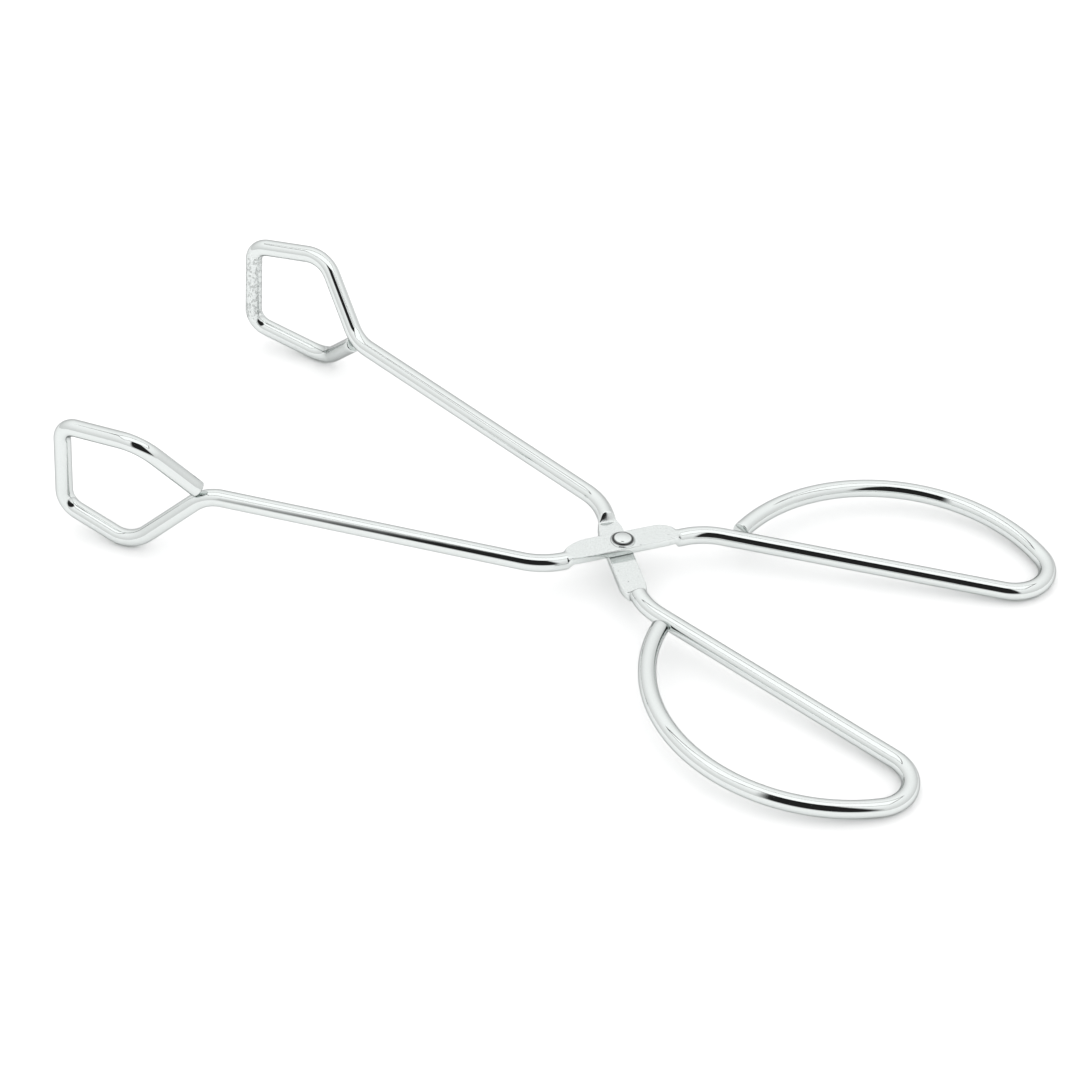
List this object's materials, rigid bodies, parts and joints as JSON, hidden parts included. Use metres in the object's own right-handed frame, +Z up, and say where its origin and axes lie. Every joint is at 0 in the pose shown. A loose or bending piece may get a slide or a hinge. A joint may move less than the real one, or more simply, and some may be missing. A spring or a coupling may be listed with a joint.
{
  "type": "crucible tongs",
  "caption": "Scissor-action laboratory tongs of bent chrome-plated wire: open five-sided jaws, D-shaped finger loops and a riveted pivot pressed flat.",
  "frame": {"origin": "centre of the footprint, on the bench top that the tongs lie on", "axes": "+Z up from the bench; +X along the tongs from the jaws towards the finger loops; the rivet axis leans from +Z by the few degrees at which the tongs lie"},
  "size_m": [0.2496, 0.135, 0.0369],
  "materials": {
    "lever_plating": "bright decorative chrome plate over steel wire, with faint drawing lines and light handling scratches",
    "rivet_plating": "bright chrome plate over a steel rivet, slightly uneven on the formed head"
  },
  "bodies": {
    "upper_lever_and_rivet": {"upper_lever": "lever_plating", "rivet": "rivet_plating"},
    "lower_lever": {"lower_lever": "lever_plating"}
  },
  "joints": [
    {"name": "lever_pivot", "type": "hinge", "parent": "upper_lever_and_rivet", "child": "lower_lever", "pos_m": [0.02117, 0.00132, 0.00962], "axis": [0.0716, 0, 0.9974], "range_deg": [-50, 35.7]}
  ]
}
